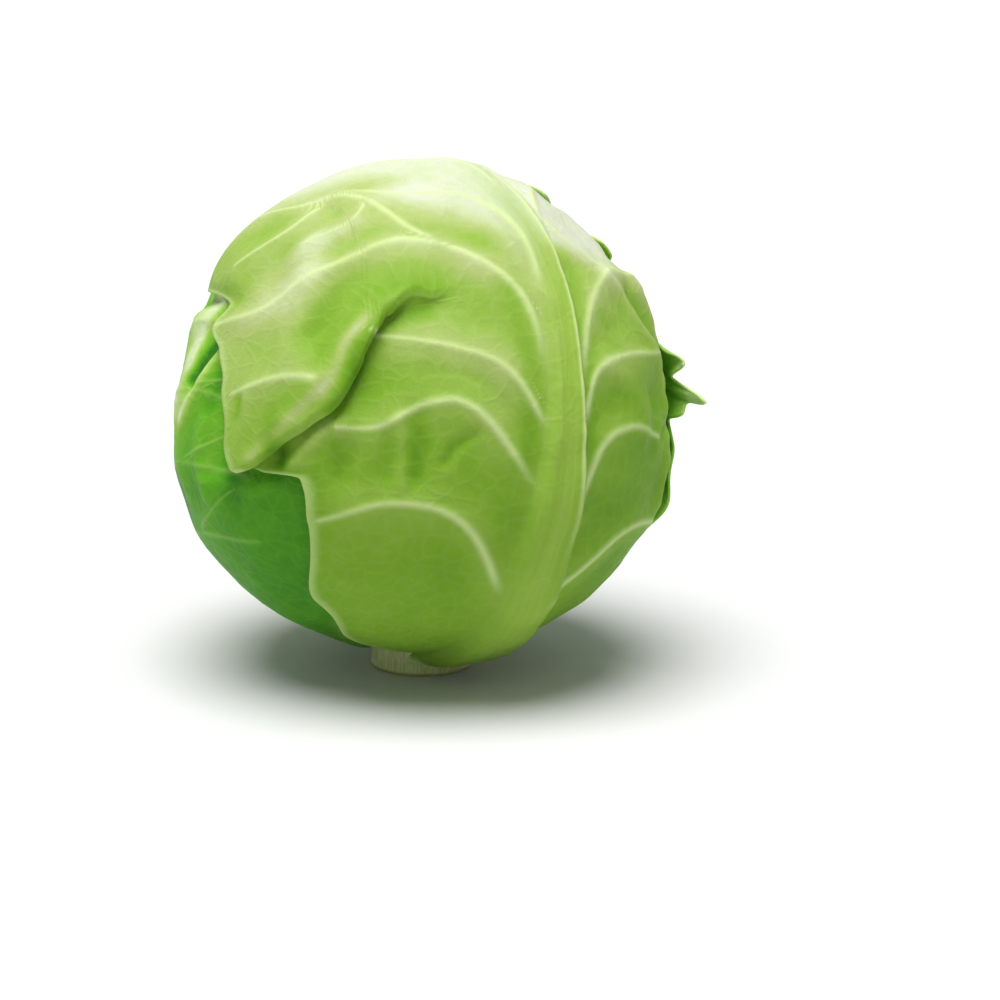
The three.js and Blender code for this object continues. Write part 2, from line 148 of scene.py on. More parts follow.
# At its foot a blade meets the stem's side and clasps it a little way round
clasp = {
    "spread": 4.5,  # degrees of heading to either side
    "ease": 14,
    "start": 1.4,  # stem radii, a first guess at the foot's place
    "rounds": 4,  # of bringing the foot closer to the stem's side
}


def bladeReach(leaf, heading):
    free = outline(leaf, heading)
    foot = leaf["foot"]
    away = degreesApart(heading, foot["heading"])
    past = foot["reach"] * np.sin(np.radians(away))
    clearance = foot["reach"] - foot["edge"]
    hold = foot["reach"] * np.cos(np.radians(away)) - np.sqrt(np.maximum(0, clearance**2 - past**2))
    share = ease(clasp["spread"] + clasp["ease"], clasp["spread"], away)
    return free + (np.where(share > 0, hold, free) - free) * share


def edgeDistance(leaf, d):
    xy = toBlade(leaf, d)
    heading = np.degrees(np.arctan2(xy[:, 1], xy[:, 0]))
    return bladeReach(leaf, heading) - np.hypot(xy[:, 0], xy[:, 1])


# The midrib: a broad band that thins towards the tip and bends to the stem at its foot.
# Its stretches are heights on the blade, from the one to the other, and its flanks half widths.
rib = {
    "halfWidth": 5.2,
    "footSpread": 13.8,
    "footWidening": (10, -140),
    "footPower": 1.2,
    "tipSpread": 3.6,
    "tipWidening": (25, 105),
    "footBend": (-50, -170),
    "tipBend": (35, 105),
    "thinning": (110, -140),
    "thinnest": 0.3,
    "end": (128, 96),
    "leftFlank": (-1.45, -0.7),
    "rightFlank": (1.5, 0.92),  # the steeper one, because the side veins run into the left one
    "edgePlace": 0.88,  # a fine ridge along the right edge, where a pale line is also painted as a highlight
    "edgeWidth": 0.2,
    "edgeRidge": 0.5,
    "edgeStart": (-60, -10),
    "edgeEnd": (130, 90),
}


def ribPlace(leaf, xy):
    # how far across the midrib a point is, in half widths of it
    y = xy[:, 1]
    half = rib["halfWidth"] + rib["footSpread"] * ramp(*rib["footWidening"], y) ** rib["footPower"]
    half = half + rib["tipSpread"] * ease(*rib["tipWidening"], y) * ease(2, 6, leaf["ribRise"])
    path = leaf["foot"]["x"] * ease(*rib["footBend"], y) + leaf["ribBend"] * ease(*rib["tipBend"], y)
    return (xy[:, 0] - path) / half


def ribHeight(leaf, d):
    xy = toBlade(leaf, d)
    y = xy[:, 1]
    thickness = rib["thinnest"] + (1 - rib["thinnest"]) * ramp(*rib["thinning"], y)
    across = ribPlace(leaf, xy)
    flank = np.where(across > 0, ease(*rib["rightFlank"], across), ease(*rib["leftFlank"], across))
    return leaf["ribRise"] * thickness * ease(*rib["end"], y) * flank


def ribEdgeShow(xy):
    return ease(*rib["edgeStart"], xy[:, 1]) * ease(*rib["edgeEnd"], xy[:, 1])


def layer(index, d):
    # how far below the outside a leaf lies, and how much of it other leaves hide
    depth = np.zeros(len(d))
    hidden = np.zeros(len(d))
    for leaf in leaves[:index]:
        edge = edgeDistance(leaf, d)
        press = ease(-wrap["marginRide"], 0, edge)
        depth += ribHeight(leaf, d) * hidden * press
        depth += press * (wrap["blade"] + wrap["gap"] + leaf["air"])
        hidden = np.maximum(hidden, ease(-4, 6, edge))
    return depth, hidden


def smoothPath(points, steps=6):
    # a smooth line through a few points on a blade
    points = np.array(points, dtype=float)
    ends = np.vstack([2 * points[0] - points[1], points, 2 * points[-1] - points[-2]])
    line = []
    for k in range(1, len(ends) - 2):
        a, b, c, e = ends[k - 1 : k + 3]
        for t in np.arange(steps) / steps:
            line.append(b + 0.5 * t * (c - a + t * (2 * a - 5 * b + 4 * c - e + t * (3 * b - a - 3 * c + e))))
    line.append(points[-1])
    return np.array(line)


def alongPath(d, path):
    # the millimetres to a line on the head, how far along it the nearest place is, and the side of it
    nearest = np.full(len(d), 1e9)
    share = np.zeros(len(d))
    side = np.ones(len(d))
    for k in range(len(path) - 1):
        step = path[k + 1] - path[k]
        t = clamp((d - path[k]) @ step / (step @ step), 0, 1)
        away = np.linalg.norm(d - path[k] - t[:, None] * step, axis=1) * head["halfWidth"]
        closer = away < nearest
        nearest[closer] = away[closer]
        share[closer] = (k + t[closer]) / (len(path) - 1)
        side[closer] = np.sign(d[closer] @ np.cross(path[k], step))
    return nearest, share, side


def wobble(xy, size, seed):
    # soft uneven noise over a blade, from -1 to 1
    return np.array([noise.noise(Vector((x / size, y / size, seed))) for x, y in xy.tolist()])


# The side veins of a plain leaf, one to the left and one to the right up its midrib.
# Bends and forks are steps out, as shares of a vein's reach, and up from its root.
pairing = {
    "lowest": -105,
    "span": 170,
    "root": 4,
    "reach": 0.82,
    "tipLoss": 0.25,
    "bend": [(0.2, 21), (0.55, 38), (1, 46)],
    "fork": [(0.55, 38), (0.75, 52), (0.9, 66)],
    "veinWidth": 1.5,
    "forkWidth": 0.8,
}


def pairedVeins(count, reach):
    veins = []
    for i in range(count):
        side = 1 if i % 2 else -1
        y = pairing["lowest"] + pairing["span"] * i / count
        out = side * reach * (pairing["reach"] - pairing["tipLoss"] * (i / count) ** 2)
        bend = [(side * pairing["root"], y)] + [(out * share, y + up) for share, up in pairing["bend"]]
        fork = [(out * share, y + up) for share, up in pairing["fork"]]
        veins.append((bend, pairing["veinWidth"]))
        veins.append((fork, pairing["forkWidth"]))
    return veins


# Where the front leaf's pleat runs, on the square that its blade's grid comes from
pleatPoints = [
    (1, 0.35), (0.2, 0.36), (-0.2, 0.365), (-0.36, 0.38), (-0.45, 0.372), (-0.51, 0.36), (-0.552, 0.33),
    (-0.585, 0.275), (-0.61, 0.19), (-0.635, 0.1), (-0.68, 0.005), (-0.757, -0.06), (-0.835, -0.105),
    (-0.93, -0.205), (-1, -0.25),
]

# The wrapper leaves from the outside in, each about 137.5 degrees round from the last.
# On a blade, seen from outside, x is to the right of its middle and y up its midrib.
# An outline gives the margin's reach at a few headings, anticlockwise from the right, and a wave
# its depth, count and start. Ruffles are a heading, a lift and a width in degrees. Veins are
# lines with a half width, creases lines with a width and a lift, and green-and-light lines a width
# and a change of green, for the leaf's own deeper and paler patches and for painted shade in
# creases and valleys and under the pleat's lip, and painted highlights on crests. Air is the room
# under a blade, and spread the reach of its even grid.
leaves = [
    {
        "node": "leaf_back_loose", "azimuth": 173.5, "lean": 0, "ribRise": 4, "veinLevel": 0.8, "ribBend": 0,
        "air": 1.1, "spread": 116, "blend": 2, "grid": (236, 190), "green": 0.68, "seed": 3.1,
        "outline": [
            (0, 124), (17, 116), (44, 96), (68, 84), (90, 80), (106, 86), (111, 88), (115, 101), (119, 103),
            (124, 92), (133, 95), (136.5, 106), (140, 107), (144, 97), (152, 101), (158, 116), (163, 129),
            (166, 131), (169.5, 126), (172.6, 138), (175, 130), (177, 133), (180, 128), (184, 134),
            (205, 150), (250, 142), (290, 142), (330, 138),
        ],
        "wave": (1.5, 17, 0.6),
        "ruffles": [
            (165.5, 8, 2.8), (172.6, 13.5, 2.2), (176.4, 4.5, 1.8), (186, 2, 4), (196, 4, 5), (117, 1.5, 4),
            (138, 1.5, 4),
            (84, 2, 8), (62, 4, 7), (36, 8, 7), (14, 3, 6), (350, 2, 7), (330, 5, 6),
        ],
        "veins": pairedVeins(12, 112),
        "creases": [],
        "greenAndPaintedLightLines": [],
    },
    {
        "node": "leaf_front", "azimuth": 31.2, "lean": 8.6, "ribRise": 5.6, "veinLevel": 1, "ribBend": -8,
        "air": 2.2, "spread": 126, "blend": 3, "grid": (236, 196), "green": 0.58, "seed": 7.7,
        "outline": [
            (0, 128), (40, 140), (90, 140), (117, 152), (130, 163), (144, 171), (153.5, 139), (158, 144),
            (164, 136), (171, 131), (178, 128), (184, 130), (189.5, 126), (196, 98), (207, 101), (228, 122),
            (250, 140), (290, 142), (330, 136),
        ],
        "wave": (0.8, 21, 0),
        "ruffles": [(148, -3, 7)],
        "veins": [
            ([(-7, 8), (-12, 38), (-27, 54), (-46, 62), (-67, 59), (-87, 54), (-108, 48), (-132, 54)], 1.7),
            ([(-36, 60), (-47, 69), (-56, 86), (-66, 96), (-80, 100), (-96, 112)], 1.4),
            ([(-6, 38), (-8, 62), (-20, 82), (-41, 87), (-63, 97)], 1.4),
            ([(-68, 95), (-88, 85), (-114, 81)], 1.1),
            ([(-6, -8), (-22, 14), (-41, 22), (-66, 28)], 1.5),
            ([(-7, -30), (-33, 0), (-50, 2), (-66, -6), (-80, -6)], 1.6),
            ([(-83, 12), (-100, 15), (-122, 12)], 1.5),
            ([(-4, 84), (-10, 104), (-30, 116), (-56, 125), (-80, 126)], 1.1),
            ([(6, 8), (14, 36), (31, 54), (46, 58), (66, 62)], 1.7),
            ([(4, 78), (12, 66), (31, 54)], 1.5),
            ([(7, -6), (13, 14), (30, 22), (58, 27)], 1.7),
            ([(8, -34), (16, -11), (33, -3), (54, -5)], 1.7),
            ([(3, 60), (12, 88), (34, 104), (60, 108)], 1.1),
            ([(-9, -72), (-34, -40), (-60, -34), (-86, -44)], 1.7),
            ([(9, -76), (34, -44), (62, -38), (94, -46)], 1.7),
            ([(-56, 86), (-64, 76), (-84, 72)], 0.8),
        ],
        "creases": [
            ([(30, 52), (37, 47), (45, 37), (56, 29), (67, 17), (68, -2), (66, -30)], 4, 1.9),
            ([(48, 50), (56, 42), (61, 30)], 4, -1.8),
            ([(60, 54), (67, 46), (74, 35), (78, 22)], 7, 2.8),
            ([(-80, -6), (-86, -8), (-92, -14), (-98, -22), (-102, -32)], 3, 1.8),
            ([(-104, -14), (-106, -28)], 4, -2),
            ([(-76, -14), (-80, -26)], 4, -1.6),
            ([(17, 18), (30, 12), (45, 5)], 5, 1.1),
            ([(58, 20), (51, 9), (50, -8)], 5, -1.2),
            ([(-82, -10), (-81, -24)], 3, -1.2),
            ([(-53, -1), (-53, -24)], 4, -1.4),
            ([(-63, -8), (-63, -24)], 3, -1),
            ([(-59, -4), (-57, -14), (-57, -26)], 3, 1),
            ([(-33, -8), (-39, -12), (-43, -18)], 2, -1.2),
            ([(-115, 10), (-117, -1), (-122, -17)], 2, 1),
            ([(-120, 8), (-121, 0)], 3, -1.2),
            ([(-81, 73), (-85, 56), (-89, 41), (-93, 26)], 7, 1.2),
            ([(-66, 52), (-75, 46), (-80, 39), (-87, 30)], 5, -1.8),
            ([(-54, 40), (-64, 35), (-71, 29), (-77, 20), (-84, 12), (-98, -1)], 4, 1),
        ],
        "pleat": {"line": pleatPoints, "start": -0.26, "full": -0.6},
        "greenAndPaintedLightLines": [
            # painted shade over the lower right of the blade
            ([(62, 10), (60, -30)], 40, 0.15),
            # painted shade in the valleys above the pleat
            ([(-89, 31), (-82, 40), (-72, 47), (-62, 50), (-49, 52), (-37, 54)], 7, 0.12),
            ([(-83, 22), (-78, 29), (-71, 35), (-64, 40), (-53, 43), (-42, 43)], 4, 0.15),
            ([(-70, 63), (-54, 68), (-38, 68), (-24, 62)], 7, 0.26),
            ([(-60, 80), (-44, 78)], 6, 0.08),
            ([(-86, 76), (-68, 78), (-52, 78), (-43, 68)], 4, 0.08),
            # painted shadow under the pleat's lip
            ([(-48, 36), (-56, 34), (-62, 31), (-67, 26), (-72, 18), (-76, 9), (-81, 1)], 3.5, 0.3),
            ([(-73, 16), (-71, 7), (-74, 0)], 7, 0.14),
            ([(-67, 9), (-57, 10), (-45, 9), (-36, 6)], 6, 0.08),
            ([(-30, 40), (-46, 46), (-60, 42)], 8, 0.1),
            ([(-22, 60), (-16, 48)], 6, 0.08),
            ([(-53, -6), (-53, -24)], 4, 0.16),
            ([(-68, -14), (-70, -26)], 6, 0.06),
            ([(-15, -15), (-13, 9), (-14, 26), (-17, 41)], 5, 0.2),
            ([(11, -30), (10, -14), (9, 3), (9, 20), (9, 35), (9, 48), (7, 57)], 5, 0.2),
            ([(12, 56), (16, 52), (20, 50)], 6, 0.12),
            ([(20, 36), (25, 29), (15, 23)], 5, 0.12),
            ([(12, 3), (24, 7), (40, 10)], 6, 0.1),
            ([(14, -14), (30, -9), (48, -9)], 6, 0.1),
            # a painted highlight along the pleat's lip
            (
                [(-67, 32), (-75, 25), (-77, 17), (-81, 10), (-88, 5), (-95, -1), (-105, -10), (-113, -17)],
                2.6, -0.22,
            ),
            ([(-84, -14), (-88, -25)], 4, 0.12),
            ([(-103, -16), (-104, -28)], 4, 0.25),
            ([(-104, 62), (-118, 40), (-122, 12)], 20, -0.13),
            ([(-134, 76), (-136, 60)], 10, -0.1),
            ([(-60, 92), (-84, 90), (-104, 84)], 17, 0.27),
            ([(-56, 112), (-80, 108)], 14, 0.08),
            ([(-92, 98), (-90, 71), (-86, 58)], 9, 0.1),
            ([(-46, 82), (-31, 79), (-20, 74), (-12, 64)], 6, 0.1),
            ([(-90, 8), (-98, 3), (-104, -3)], 4, 0.16),
            ([(-118, 8), (-119, 2)], 2.5, 0.2),
            ([(30, 70), (38, 90), (30, 112)], 15, -0.24),
        ],
    },
    {
        "node": "leaf_left", "azimuth": -101.5, "lean": 0, "ribRise": 3, "veinLevel": 0.4, "ribBend": 0,
        "air": 1.6, "spread": 130, "blend": 2, "grid": (150, 150), "green": 0.8, "seed": 1.3,
        "outline": [(0, 132), (60, 130), (90, 130), (120, 130), (180, 132), (230, 140), (310, 140)],
        "wave": (1.2, 15, 1),
        "ruffles": [],
        "veins": pairedVeins(12, 118),
        "creases": [
            ([(53, 40), (50, 24), (50, 6)], 3.2, -2.2),
            ([(57, 22), (55, 8), (50, -10)], 3, 1.6),
            ([(64, 24), (69, 12), (77, 3), (85, -8), (88, -26)], 6, -2),
            ([(65, -4), (66, -15), (72, -30)], 4, 1.4),
            ([(40, -6), (47, -20), (54, -34)], 6, 1.2),
            ([(22, 34), (18, 12), (15, -12), (14, -40)], 18, -1.7),
            ([(28, 47), (40, 42)], 5, 2.4),
        ],
        # painted shade along the dark slit and the sunk creases, painted highlights along the raised creases
        # beside it, and a paler strip left of the slit
        "greenAndPaintedLightLines": [
            ([(28, 50), (27, 25), (34, 8), (40, -6)], 11, -0.55),
            ([(56, 21), (54, 8), (49, -8)], 3, -0.35),
            ([(39, 42), (37, 32), (37, 22), (40, 12)], 4.5, -0.45),
            ([(52, 41), (51, 35), (50, 26), (49, 15), (48, 7)], 2.7, 0.42),
            ([(63, 22), (64, 12), (65, 2)], 3, 0.15),
            ([(70, 12), (73, -2), (73, -15)], 4, -0.14),
            ([(76, 6), (82, -3), (86, -18)], 3.5, 0.2),
        ],
    },
    {
        "node": "leaf_right", "azimuth": 121, "lean": 0, "ribRise": 2.4, "veinLevel": 0.8, "ribBend": 0,
        "air": 0.3, "spread": 128, "blend": 2, "grid": (110, 110), "green": 0.6, "seed": 5.9,
        "outline": [(0, 126), (90, 128), (180, 126), (230, 136), (310, 136)],
        "wave": (1.5, 13, 2),
        "ruffles": [], "veins": pairedVeins(8, 110), "creases": [], "greenAndPaintedLightLines": [],
    },
    {
        "node": "leaf_front_inner", "azimuth": -16.5, "lean": 0, "ribRise": 2.2, "veinLevel": 0.8,
        "ribBend": 0, "air": 0.2, "spread": 126, "blend": 2, "grid": (110, 110), "green": 0.6, "seed": 9.2,
        "outline": [(0, 124), (90, 126), (180, 124), (230, 134), (310, 134)],
        "wave": (1.5, 14, 3),
        "ruffles": [], "veins": pairedVeins(8, 108), "creases": [], "greenAndPaintedLightLines": [],
    },
    {
        "node": "leaf_back_inner", "azimuth": -154, "lean": 0, "ribRise": 2, "veinLevel": 0.8, "ribBend": 0,
        "air": 0.2, "spread": 126, "blend": 2, "grid": (110, 110), "green": 0.6, "seed": 2.4,
        "outline": [(0, 122), (90, 126), (180, 122), (230, 132), (310, 132)],
        "wave": (1.5, 12, 4),
        "ruffles": [], "veins": pairedVeins(8, 106), "creases": [], "greenAndPaintedLightLines": [],
    },
]


def stemEdge(leaf):
    pole = toBlade(leaf, np.array([[0, 0, -1.0]]))[0]
    reach = np.hypot(*pole)
    return {
        "heading": np.degrees(np.arctan2(pole[1], pole[0])),
        "reach": reach,
        "x": pole[0],
        "edge": reach - stem["radius"] * clasp["start"],
    }


# Each leaf's frame and foot, and its lines laid on the head
for leaf in leaves:
    leaf["frame"] = leafFrame(leaf)
    leaf["foot"] = stemEdge(leaf)
    leaf["paths"] = [(toHead(leaf, smoothPath(line)), half) for line, half in leaf["veins"]]
    leaf["folds"] = [toHead(leaf, smoothPath(line)) for line, width, lift in leaf["creases"]]
    if "pleat" in leaf:
        leaf["pleat"]["path"] = smoothPath(leaf["pleat"]["line"])

# The feet are brought to end on the stem's side
for index, leaf in enumerate(leaves):
    foot = leaf["foot"]
    for _ in range(clasp["rounds"]):
        angle = np.radians(foot["heading"])
        d = toHead(leaf, foot["edge"] * np.array([[np.cos(angle), np.sin(angle)]]))
        radius = headSurface(d) - layer(index, d)[0] - ribHeight(leaf, d) - wrap["blade"]
        side = stem["radius"] + stem["flare"] + wrap["stemClearance"]
        foot["edge"] = foot["reach"] - head["halfWidth"] * np.arcsin(clamp(side / radius[0], 0, 1))
print("leaves laid out")

# Veins stand out as thin ridges on soft crests, and the blade sinks a little between them.
# Starts and fades are shares of a vein's length, and the rest is in millimetres.
vein = {
    "crest": 2.1,
    "crestWidth": 8,
    "crestStart": 0.5,
    "ridge": 0.55,
    "ridgeLeast": 1.7,
    "ridgeStart": 0.25,
    "rooting": (0.02, 0.28),
    "taper": 0.4,
    "fade": 0.3,
    "lineStart": (0.01, 0.14),
    "lineReach": (2.9, 1.7),  # half widths to the side, past which a vein's line isn't drawn
    "forkGap": (0.45, 1.5),  # half widths by which one of two veins is nearer, before it is drawn
    "pucker": 0.5,
    "puckerSize": 13,
    "ripple": 0.16,
    "marginEase": 22,
    "footEase": (-150, -110),
    "curl": 26,  # how far in from the margin a ruffle lifts the blade
}


def relief(leaf, d, xy, edge, hidden):
    # the height of the skin over the plain sheet, and for the finish how many half widths
    # a point is to the side of the nearest vein, and how clearly that vein or a fork shows there
    heading = np.degrees(np.arctan2(xy[:, 1], xy[:, 0]))
    crest = np.zeros(len(d))
    ridge = np.zeros(len(d))
    across = np.full(len(d), 9.0)
    second = np.full(len(d), 9.0)
    show = np.zeros(len(d))
    for path, half in leaf["paths"]:
        away, share, side = alongPath(d, path)
        rooted = ease(*vein["rooting"], share)
        taper = 1 - vein["taper"] * share
        clear = 1 - vein["fade"] * share
        swelling = vein["crestStart"] + (1 - vein["crestStart"]) * rooted
        crest = np.maximum(crest, bell(away, vein["crestWidth"]) * taper * swelling)
        rising = vein["ridgeStart"] + (1 - vein["ridgeStart"]) * rooted
        ridge = np.maximum(ridge, bell(away, np.maximum(half * taper, vein["ridgeLeast"])) * clear * rising)
        widths = away / (half * taper)
        closer = widths < np.abs(across)
        second = np.where(closer, np.abs(across), np.minimum(second, widths))
        across[closer] = (side * widths)[closer]
        shown = clear * ease(*vein["lineStart"], share) * ease(*vein["lineReach"], widths)
        show[closer] = shown[closer]
    fork = show * bell(across, 1) * bell(second, 1)
    show = show * ease(*vein["forkGap"], second - np.abs(across))
    swell = (vein["crest"] * crest + vein["ridge"] * ridge) * leaf["veinLevel"]
    swell += vein["pucker"] * (1 - ridge) * wobble(xy, vein["puckerSize"], leaf["seed"])
    swell += vein["ripple"] * (1 - ridge) * wobble(xy, vein["puckerSize"] / 3, leaf["seed"] + 5)
    edgeShare = bell(ribPlace(leaf, xy) - rib["edgePlace"], rib["edgeWidth"])
    swell += rib["edgeRidge"] * edgeShare * ribEdgeShow(xy)
    for fold, (_, width, lift) in zip(leaf["folds"], leaf["creases"]):
        swell += lift * bell(alongPath(d, fold)[0], width)
    swell *= ease(0, vein["marginEase"], edge) * ease(*vein["footEase"], xy[:, 1])
    curl = clamp(1 - edge / vein["curl"], 0, 1) ** 2
    for at, lift, width in leaf["ruffles"]:
        swell += lift * bell(degreesApart(heading, at), width) * curl
    return np.maximum(swell, -leaf["air"]) * (1 - hidden), across, show, fork


# A blade's grid: a square eased into the round outline, whose corner cells keep their width
grid = {"cornerPower": 6, "columnCrowding": 0.01}


def bladePoint(leaf, p, q):
    heading = np.degrees(np.arctan2(q * np.sqrt(1 - p * p / 2), p * np.sqrt(1 - q * q / 2)))
    a = np.abs(p) ** grid["cornerPower"]
    b = np.abs(q) ** grid["cornerPower"]
    share = (a + b - a * b) ** (1 / grid["cornerPower"])
    reach = share * (leaf["spread"] + (bladeReach(leaf, heading) - leaf["spread"]) * share ** leaf["blend"])
    angle = np.radians(heading)
    return np.stack([reach * np.cos(angle), reach * np.sin(angle)], axis=1)


# The front leaf's pleat: the sheet runs under a lip, turns back, and turns again over it
pleating = {
    # distances up the flat sheet, the same once folded, and heights
    "profile": [
        (-24, -24, 0), (-9, -9, -0.8), (-4, -0.4, -0.9), (-2, 1, 0), (0, -0.4, 0.8), (2.5, -2.6, 1.1),
        (5, -4.2, 2.7), (7.5, -2.2, 4.8), (16, 10, 3.6), (54, 54, 0),
    ],
    "rows": [(-9, -4, 6), (-4, 7.5, 26), (7.5, 16, 9)],  # from, to, and how many rows of the grid
    "step": 0.12,  # of the square, up and down, for the sheet's scale there
    "turn": 0.15,  # of the square, to either side, so that the line's run turns slowly
}
pleatRows = []
for start, end, count in pleating["rows"]:
    pleatRows += [start + (end - start) * k / count for k in range(count)]
pleatRows = np.array(pleatRows + [end])


def pleatLevel(pleat, p):
    line = pleat["path"]
    return np.interp(p, line[::-1, 0], line[::-1, 1])


def pleatLine(leaf, p):
    level = pleatLevel(leaf["pleat"], p)
    point = bladePoint(leaf, p, level)
    left = clamp(p - pleating["turn"], -1, 1)
    right = clamp(p + pleating["turn"], -1, 1)
    ahead = bladePoint(leaf, right, pleatLevel(leaf["pleat"], right))
    ahead = ahead - bladePoint(leaf, left, pleatLevel(leaf["pleat"], left))
    ahead /= np.linalg.norm(ahead, axis=1)[:, None]
    normal = np.stack([-ahead[:, 1], ahead[:, 0]], axis=1)
    above = bladePoint(leaf, p, level + pleating["step"])
    below = bladePoint(leaf, p, level - pleating["step"])
    scale = np.sum((above - below) * normal, axis=1) / (2 * pleating["step"])
    return level, point, normal, scale


def rowLevels(leaf, p, row):
    # the rows stand close together where the sheet is folded
    rows = leaf["grid"][1]
    level, _, _, scale = pleatLine(leaf, p)
    below = round((rows - len(pleatRows)) * (1 + leaf["pleat"]["path"][0, 1]) / 2)
    above = rows + 1 - below - len(pleatRows)
    first = level + pleatRows[0] / scale
    last = level + pleatRows[-1] / scale
    within = level + pleatRows[clamp(row - below, 0, len(pleatRows) - 1)] / scale
    under = -1 + (first + 1) * row / below
    over = last + (1 - last) * (row - below - len(pleatRows) + 1) / above
    return np.where(row < below, under, np.where(row < below + len(pleatRows), within, over))


def pleatShift(leaf, p, xy):
    pleat = leaf["pleat"]
    strength = ease(pleat["start"], pleat["full"], p)
    _, point, normal, _ = pleatLine(leaf, p)
    distance = np.sum((xy - point) * normal, axis=1)
    flat, folded, height = np.array(pleating["profile"], dtype=float).T
    inside = (distance > flat[0]) & (distance < flat[-1])
    moved = np.where(inside, np.interp(distance, flat, folded) - distance, 0)
    lift = np.where(inside, np.interp(distance, flat, height), 0)
    return xy + normal * (moved * strength)[:, None], lift * strength


def clearOfStem(points):
    # keeps the foot of a blade out of the middle of the stem
    flat = np.hypot(points[:, 0], points[:, 1])
    least = stem["radius"] + stem["flare"] + wrap["stemClearance"]
    low = (points[:, 2] + centreHeight < stem["height"]) & (flat < least)
    points[low, :2] *= (least / flat[low])[:, None]
    return points


def leafGrid(leaf):
    # a flat grid, and where its points lie on the square
    columns, rows = leaf["grid"]
    bpy.ops.object.select_all(action="DESELECT")
    bpy.ops.mesh.primitive_grid_add(x_subdivisions=columns, y_subdivisions=rows, size=2)
    piece = bpy.context.object
    piece.name = leaf["node"] + "_blade"
    count = len(piece.data.vertices)
    square = np.empty(count * 3)
    piece.data.vertices.foreach_get("co", square)
    p, q = square.reshape(count, 3)[:, :2].T
    p = p - grid["columnCrowding"] * np.sin(2 * np.pi * p)
    if "pleat" in leaf:
        q = rowLevels(leaf, p, np.rint((q + 1) / 2 * rows).astype(int))
    return piece, p, q


# The green is paler towards the crown, partly the leaf's own paler green and partly painted light from above,
# and paler on raised relief and deeper in sunk creases: the veins' own pallor, with painted highlight and
# shade
greeningAndPaintedLight = {"rise": 0.36, "crown": 0.26, "crownStart": 0.6, "crest": 0.16}


def markLeaf(mesh, leaf, d, xy, edge, skin):
    # what the finish reads: the veins, the midrib with a painted highlight along its right edge, the margin,
    # and the depth of green, which holds painted light and shade as well as the leaf's own green
    swell, acrossVein, lineShow, fork = skin
    acrossRib = ribPlace(leaf, xy)
    rise = d[:, 2]
    # paler higher up and at the crown: partly the leaf's own green, partly painted light from above; paler on
    # crests and deeper in sunk creases: the veins' own pallor plus painted highlight and shade
    greenAndPaintedLight = leaf["green"] - greeningAndPaintedLight["rise"] * clamp(rise, -0.1, 1)
    greenAndPaintedLight -= greeningAndPaintedLight["crown"] * ease(greeningAndPaintedLight["crownStart"], 1, rise)
    greenAndPaintedLight -= greeningAndPaintedLight["crest"] * swell / vein["crest"]
    # the lines add painted shade in creases and under the pleat's lip, painted highlights on crests, and
    # patches of the leaf's own green
    for line, width, change in leaf["greenAndPaintedLightLines"]:
        greenAndPaintedLight += change * bell(alongPath(d, toHead(leaf, smoothPath(line)))[0], width)
    marks = {
        "across vein": acrossVein,
        "vein": lineShow,
        "fork": fork,
        "across rib": clamp(acrossRib, -3, 3),
        "rib": bell(acrossRib, 1.15) * ease(120, 60, xy[:, 1]),
        # where the painted highlight along the midrib's right edge shows
        "rib edge highlight": ribEdgeShow(xy),
        "greenAndPaintedLight": clamp(greenAndPaintedLight, 0, 1),
        "inside": ease(0, 6, edge),
    }
    for name, values in marks.items():
        attribute = mesh.attributes.new(name, "FLOAT", "POINT")
        attribute.data.foreach_set("value", values.astype(np.float32))


def buildLeaf(index):
    leaf = leaves[index]
    piece, p, q = leafGrid(leaf)
    mesh = piece.data
    sheet = bladePoint(leaf, p, q)
    xy, lift = pleatShift(leaf, p, sheet) if "pleat" in leaf else (sheet, 0)
    d = toHead(leaf, xy)
    edge = edgeDistance(leaf, d)
    depth, hidden = layer(index, d)
    skin = relief(leaf, d, xy, edge, hidden)
    radius = headSurface(d) - depth + ribHeight(leaf, d) * (1 - hidden) + skin[0] + lift
    points = clearOfStem(d * radius[:, None])
    points[:, 2] += centreHeight
    mesh.vertices.foreach_set("co", (points * mm).ravel())
    mesh.update()
    normals = np.empty(points.size)
    mesh.vertices.foreach_get("normal", normals)
    if np.sum(normals.reshape(-1, 3) * d) < 0:
        mesh.flip_normals()
    markLeaf(mesh, leaf, d, xy, edge, skin)
    corners = np.empty(len(mesh.loops), dtype=int)
    mesh.loops.foreach_get("vertex_index", corners)
    mesh.uv_layers[0].data.foreach_set("uv", (sheet[corners] * mm).ravel())

    wall = piece.modifiers.new("wall", "SOLIDIFY")
    wall.thickness = wrap["sheet"] * mm
    wall.offset = -1
    bpy.ops.object.modifier_apply(modifier=wall.name)
    bpy.ops.object.shade_smooth()
    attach(piece, "root")
    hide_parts(leaf["node"])
    print(leaf["node"], "made with", len(piece.data.polygons), "faces")
    return piece


def linear(code):
    # an sRGB hex colour as Blender's linear one
    parts = [int(code[i : i + 2], 16) / 255 for i in (1, 3, 5)]
    return [c / 12.92 if c <= 0.04045 else ((c + 0.055) / 1.055) ** 2.4 for c in parts] + [1]


def addNode(tree, kind, settings=None, **inputs):
    # a node with its settings, and each input, by its name or as i and its number, set or linked
    node = tree.nodes.new(kind)
    for name, value in (settings or {}).items():
        setattr(node, name, value)
    for name, value in inputs.items():
        socket = node.inputs[int(name[1:]) if name[1:].isdigit() else name]
        if isinstance(value, bpy.types.Node):
            value = value.outputs[0]
        if isinstance(value, bpy.types.NodeSocket):
            tree.links.new(value, socket)
        else:
            socket.default_value = value
    return node


